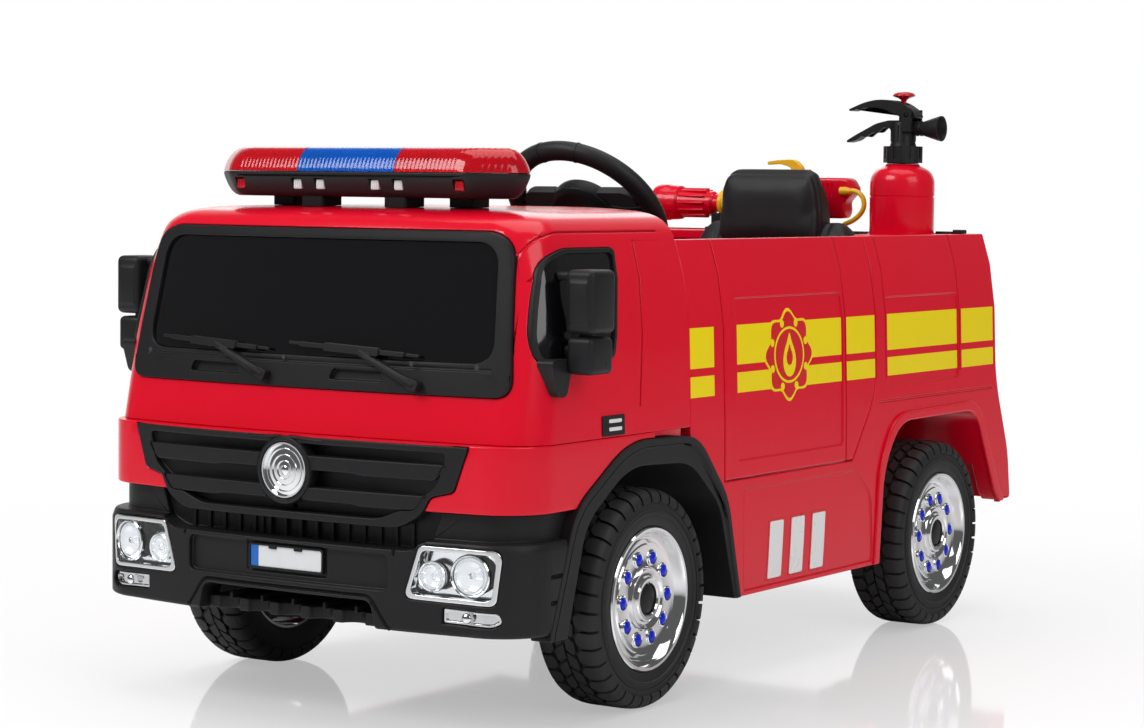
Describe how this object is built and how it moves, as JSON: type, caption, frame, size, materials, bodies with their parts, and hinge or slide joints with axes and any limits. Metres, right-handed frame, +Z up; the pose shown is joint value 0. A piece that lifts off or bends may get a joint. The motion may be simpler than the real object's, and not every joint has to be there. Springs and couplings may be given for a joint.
{
  "type": "ride-on fire engine",
  "caption": "Child's battery ride-on fire engine with cab, light bar, opening doors, steered front wheels, seat, water gun and toy extinguisher.",
  "frame": {"origin": "middle of the vehicle's overall box, on the ground", "axes": "+Z up, -Y towards the nose, +X to the vehicle's left"},
  "size_m": [0.644, 1.2153, 0.695],
  "materials": {
    "red_plastic": "gloss moulded",
    "black_plastic": "satin grained",
    "dark_plastic": "matt",
    "window_black": "high gloss",
    "chrome_trim": "bright plated",
    "lamp_silver": "bright plated",
    "clear_lens": "clear moulded",
    "plate_white": "satin",
    "axle_steel": "zinc plated",
    "red_button": "gloss",
    "seat_cover": "fine grain artificial leather",
    "tyre_rubber": "matt moulded",
    "blue_lens": "translucent ribbed",
    "red_lens": "translucent ribbed",
    "yellow_plastic": "gloss",
    "yellow_hose": "satin flexible tube"
  },
  "bodies": {
    "chassis": {"chassis_pan": "dark_plastic", "cab_shell": "red_plastic", "windscreen_frame": "black_plastic", "windscreen_panel": "window_black", "side_window_left": "window_black", "side_window_right": "window_black", "cab_lower_band": "red_plastic", "grille": "black_plastic", "grille_badge": "chrome_trim", "front_bumper": "black_plastic", "headlight_bowl_left": "lamp_silver", "headlight_bowl_right": "lamp_silver", "headlight_lens_left": "clear_lens", "headlight_lens_right": "clear_lens", "number_plate": "plate_white", "skid_plate": "black_plastic", "arch_trim_left": "black_plastic", "arch_trim_right": "black_plastic", "box_body": "red_plastic", "battery": "dark_plastic", "front_axle_beam": "axle_steel", "dashboard": "black_plastic", "seat": "seat_cover", "headrest": "seat_cover", "rear_axle": "axle_steel", "gearbox_left": "dark_plastic", "gearbox_right": "dark_plastic", "mirror_left": "black_plastic", "mirror_right": "black_plastic", "wiper_left": "black_plastic", "wiper_right": "black_plastic", "lightbar_base": "black_plastic", "lightbar_blue_lens": "blue_lens", "lightbar_red_lens_left": "red_lens", "lightbar_red_lens_right": "red_lens", "gun_body": "red_plastic", "gun_hose": "yellow_hose"},
    "steering": {"steering_wheel": "black_plastic", "steering_shaft": "axle_steel"},
    "horn": {"horn_button": "red_button"},
    "tie_rod": {"tie_rod": "axle_steel"},
    "knuckle_left": {"knuckle_left": "axle_steel"},
    "knuckle_right": {"knuckle_right": "axle_steel"},
    "door_left": {"door_left": "red_plastic"},
    "door_right": {"door_right": "red_plastic"},
    "pedal": {"foot_pedal": "black_plastic"},
    "gear_lever": {"gear_lever": "black_plastic"},
    "extinguisher": {"extinguisher_bottle": "red_plastic", "extinguisher_valve": "black_plastic"},
    "extinguisher_lever": {"extinguisher_lever": "black_plastic"},
    "extinguisher_knob": {"extinguisher_knob": "red_button"},
    "gun_lever": {"gun_lever": "yellow_plastic"},
    "wheel_front_left": {"tyre_front_left": "tyre_rubber", "rim_front_left": "chrome_trim"},
    "wheel_front_right": {"tyre_front_right": "tyre_rubber", "rim_front_right": "chrome_trim"},
    "wheel_rear_left": {"tyre_rear_left": "tyre_rubber", "rim_rear_left": "chrome_trim"},
    "wheel_rear_right": {"tyre_rear_right": "tyre_rubber", "rim_rear_right": "chrome_trim"}
  },
  "joints": [
    {"name": "steering_turn", "type": "hinge", "parent": "chassis", "child": "steering", "pos_m": [0, -0.025, 0.536], "axis": [0, 0.7431, 0.6691], "range_deg": [-35, 35]},
    {"name": "horn_press", "type": "slide", "parent": "steering", "child": "horn", "axis": [0, -0.7431, -0.6691], "range_m": [0, 0.003], "stiffness_N_per_m": 300, "springref_m": -0.002},
    {"name": "knuckle_left_turn", "type": "hinge", "parent": "chassis", "child": "knuckle_left", "pos_m": [0.185, -0.326, 0.12], "axis": [0, 0, 1], "range_deg": [-20.5, 20.5]},
    {"name": "knuckle_right_turn", "type": "hinge", "parent": "chassis", "child": "knuckle_right", "pos_m": [-0.185, -0.326, 0.12], "axis": [0, 0, 1], "range_deg": [-20.5, 20.5]},
    {"name": "tie_rod_slide", "type": "slide", "parent": "chassis", "child": "tie_rod", "axis": [1, 0, 0], "range_m": [-0.0215, 0.0215]},
    {"name": "wheel_front_left_spin", "type": "hinge", "parent": "knuckle_left", "child": "wheel_front_left", "pos_m": [0.245, -0.326, 0.12], "axis": [1, 0, 0], "continuous": true},
    {"name": "wheel_front_right_spin", "type": "hinge", "parent": "knuckle_right", "child": "wheel_front_right", "pos_m": [-0.245, -0.326, 0.12], "axis": [1, 0, 0], "continuous": true},
    {"name": "wheel_rear_left_spin", "type": "hinge", "parent": "chassis", "child": "wheel_rear_left", "pos_m": [0.245, 0.392, 0.12], "axis": [1, 0, 0], "continuous": true},
    {"name": "wheel_rear_right_spin", "type": "hinge", "parent": "chassis", "child": "wheel_rear_right", "pos_m": [-0.245, 0.392, 0.12], "axis": [1, 0, 0], "continuous": true},
    {"name": "door_left_swing", "type": "hinge", "parent": "chassis", "child": "door_left", "pos_m": [0.2795, -0.1645, 0.3], "axis": [0, 0, -1], "range_deg": [0, 70]},
    {"name": "door_right_swing", "type": "hinge", "parent": "chassis", "child": "door_right", "pos_m": [-0.2795, -0.1645, 0.3], "axis": [0, 0, 1], "range_deg": [0, 70]},
    {"name": "pedal_press", "type": "hinge", "parent": "chassis", "child": "pedal", "pos_m": [-0.08, -0.182, 0.16], "axis": [1, 0, 0], "range_deg": [0, 14], "stiffness_Nm_per_rad": 1.5, "springref_deg": -8.59},
    {"name": "gear_shift", "type": "hinge", "parent": "chassis", "child": "gear_lever", "pos_m": [0.118, -0.256, 0.448], "axis": [1, 0, 0], "range_deg": [-14, 14]},
    {"name": "extinguisher_lift", "type": "slide", "parent": "chassis", "child": "extinguisher", "axis": [0, 0, 1], "range_m": [0, 0.11]},
    {"name": "extinguisher_squeeze", "type": "hinge", "parent": "extinguisher", "child": "extinguisher_lever", "pos_m": [0.189, 0.478, 0.664], "axis": [0, -1, 0], "range_deg": [0, 10], "stiffness_Nm_per_rad": 0.5, "springref_deg": -11.46},
    {"name": "extinguisher_knob_press", "type": "slide", "parent": "extinguisher", "child": "extinguisher_knob", "axis": [0, 0, -1], "range_m": [0, 0.003], "stiffness_N_per_m": 200, "springref_m": -0.002},
    {"name": "gun_lever_pull", "type": "hinge", "parent": "chassis", "child": "gun_lever", "pos_m": [0.006, 0.51, 0.585], "axis": [0, -1, 0], "range_deg": [0, 10], "stiffness_Nm_per_rad": 0.3, "springref_deg": -11.46}
  ],
  "couplings": [
    {"joint": "knuckle_left_turn", "follows": "steering_turn", "ratio": 0.57},
    {"joint": "knuckle_right_turn", "follows": "steering_turn", "ratio": 0.57},
    {"joint": "tie_rod_slide", "follows": "steering_turn", "m_per_rad": 0.0342}
  ]
}
